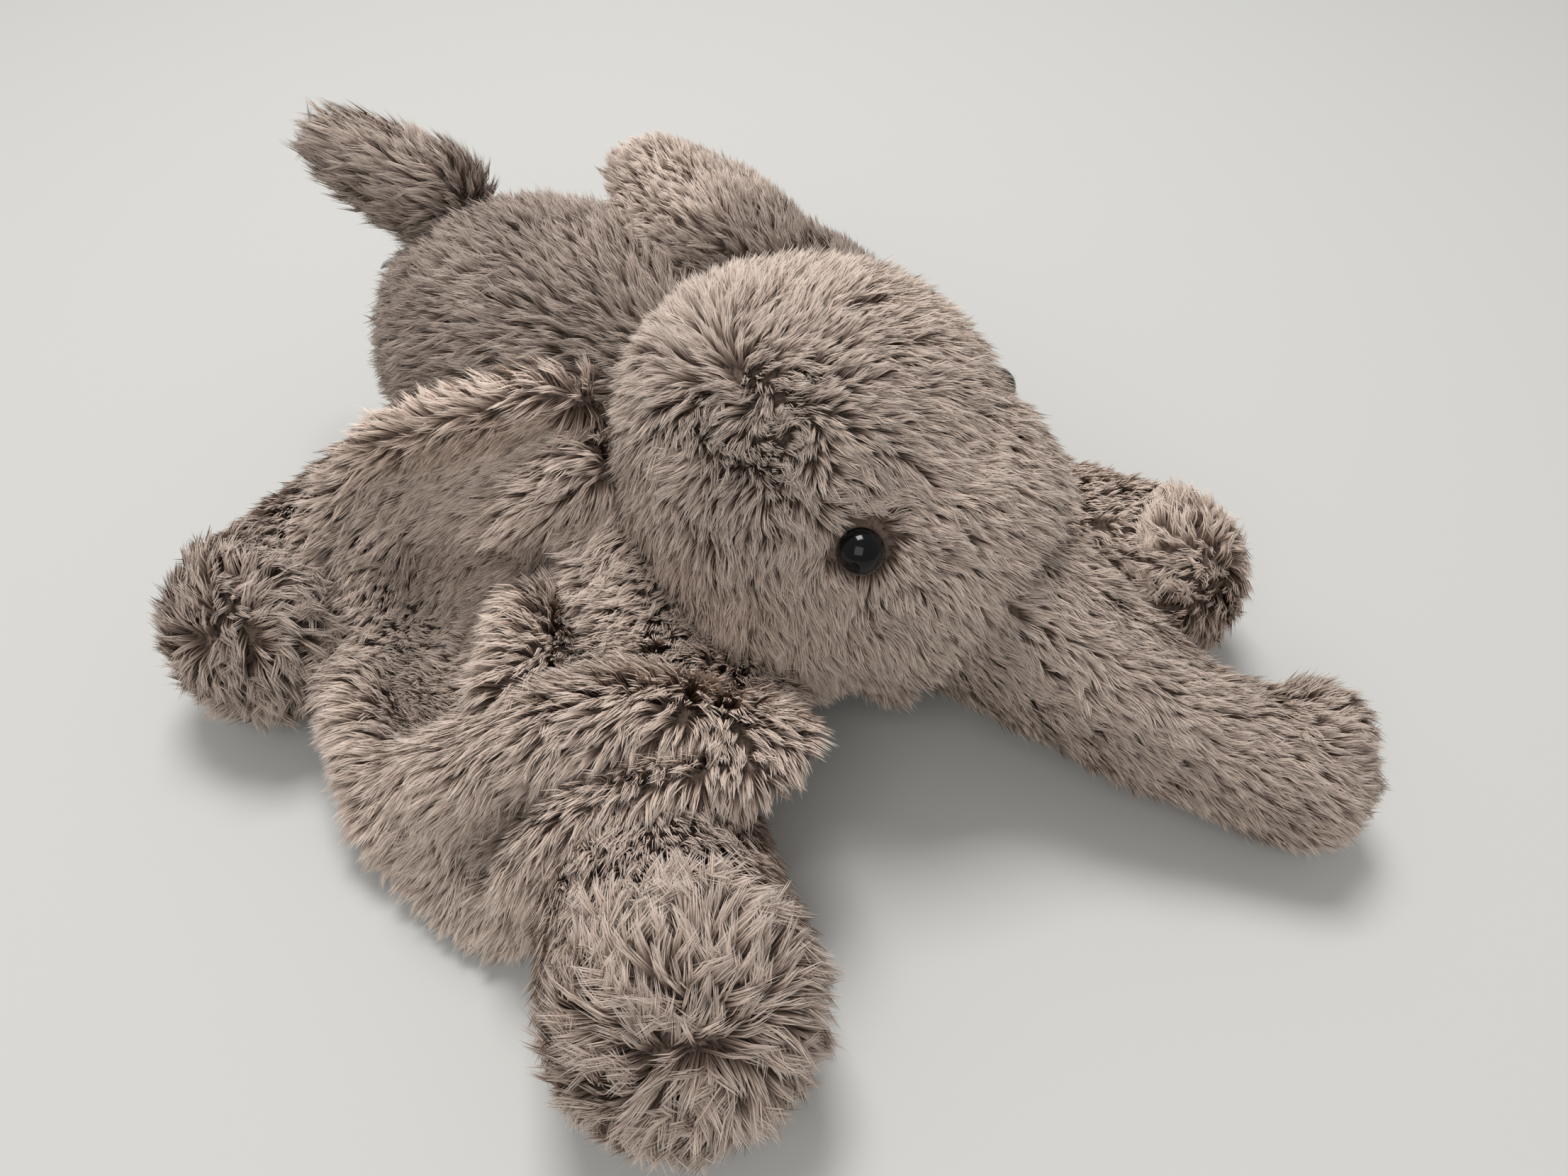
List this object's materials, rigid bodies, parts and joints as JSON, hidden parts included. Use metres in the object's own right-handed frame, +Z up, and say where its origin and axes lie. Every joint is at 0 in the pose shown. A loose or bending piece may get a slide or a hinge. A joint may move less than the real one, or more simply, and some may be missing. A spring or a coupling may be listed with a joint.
{
  "type": "stuffed elephant",
  "caption": "Long-haired taupe plush elephant lying on its belly, with a bending trunk, floppy ears, swinging legs, a wagging tail and black eyes.",
  "frame": {"origin": "middle of the belly's flat resting face", "axes": "+Z up; the elephant faces -Y and its own right side is -X"},
  "size_m": [0.303, 0.3714, 0.126],
  "materials": {
    "fur": "long-pile plush",
    "stuffing": "loose polyester fibre",
    "pellets": "small plastic beads",
    "bag_cloth": "thin woven lining",
    "eye": "polished",
    "washer": "moulded",
    "label": "satin ribbon",
    "thread": "twisted thread"
  },
  "bodies": {
    "torso": {"torso_right_panel": "fur", "torso_left_panel": "fur", "belly_panel": "fur", "torso_stuffing": "stuffing", "pellet_bag": "bag_cloth", "bag_pellets": "pellets", "rump_label": "label", "closing_stitches": "thread"},
    "head": {"crown_gusset": "fur", "chin_panel": "fur", "head_right_panel": "fur", "head_left_panel": "fur", "head_stuffing": "stuffing", "right_eye": "eye", "right_eye_washer": "washer", "left_eye": "eye", "left_eye_washer": "washer"},
    "trunk_upper": {"trunk_upper_top_cover": "fur", "trunk_upper_under_cover": "fur", "trunk_upper_stuffing": "stuffing"},
    "trunk_tip": {"trunk_tip_top_cover": "fur", "trunk_tip_under_cover": "fur", "trunk_tip_stuffing": "stuffing"},
    "right_ear": {"right_ear_front": "fur", "right_ear_back": "fur"},
    "left_ear": {"left_ear_front": "fur", "left_ear_back": "fur"},
    "tail": {"tail_cover": "fur", "tail_stuffing": "stuffing"},
    "right_front_leg": {"right_front_leg_sleeve": "fur", "right_front_foot_sole": "fur", "right_front_leg_stuffing": "stuffing", "right_front_foot_pellets": "pellets"},
    "left_front_leg": {"left_front_leg_sleeve": "fur", "left_front_foot_sole": "fur", "left_front_leg_stuffing": "stuffing", "left_front_foot_pellets": "pellets"},
    "right_hind_leg": {"right_hind_leg_sleeve": "fur", "right_hind_foot_sole": "fur", "right_hind_leg_stuffing": "stuffing", "right_hind_foot_pellets": "pellets"},
    "left_hind_leg": {"left_hind_leg_sleeve": "fur", "left_hind_foot_sole": "fur", "left_hind_leg_stuffing": "stuffing", "left_hind_foot_pellets": "pellets"}
  },
  "joints": [
    {"name": "head_nod", "type": "hinge", "parent": "torso", "child": "head", "pos_m": [-0.004, -0.101, 0.072], "axis": [-0.9912, -0.1322, 0], "range_deg": [0, 12]},
    {"name": "trunk_lift", "type": "hinge", "parent": "head", "child": "trunk_upper", "pos_m": [0.004, -0.161, 0.046], "axis": [-0.9891, -0.1473, 0], "range_deg": [0, 30]},
    {"name": "trunk_curl", "type": "hinge", "parent": "trunk_upper", "child": "trunk_tip", "pos_m": [0.011, -0.208, 0.03], "axis": [-0.9285, -0.3714, 0], "range_deg": [0, 30]},
    {"name": "right_ear_flap", "type": "hinge", "parent": "head", "child": "right_ear", "pos_m": [-0.05749, -0.092, 0.0835], "axis": [0.211, 0.9476, 0.2399], "range_deg": [0, 35]},
    {"name": "left_ear_flap", "type": "hinge", "parent": "head", "child": "left_ear", "pos_m": [0.044, -0.093, 0.093], "axis": [0.3604, -0.7663, -0.5319], "range_deg": [0, 35]},
    {"name": "right_front_leg_swing", "type": "hinge", "parent": "torso", "child": "right_front_leg", "pos_m": [-0.046, -0.046, 0.021], "axis": [0, 0, 1], "range_deg": [0, 10]},
    {"name": "left_front_leg_swing", "type": "hinge", "parent": "torso", "child": "left_front_leg", "pos_m": [0.05, -0.046, 0.02], "axis": [0, 0, 1], "range_deg": [0, 22]},
    {"name": "right_hind_leg_swing", "type": "hinge", "parent": "torso", "child": "right_hind_leg", "pos_m": [-0.052, 0.026, 0.028], "axis": [0, 0, -1], "range_deg": [0, 40]},
    {"name": "left_hind_leg_swing", "type": "hinge", "parent": "torso", "child": "left_hind_leg", "pos_m": [0.05, 0.034, 0.028], "axis": [0, 0, 1], "range_deg": [-10, 20]},
    {"name": "tail_wag", "type": "hinge", "parent": "torso", "child": "tail", "pos_m": [0.001, 0.06, 0.092], "axis": [0, 0, 1], "range_deg": [-25, 25]}
  ],
  "couplings": [
    {"joint": "trunk_curl", "follows": "trunk_lift", "ratio": 1}
  ]
}
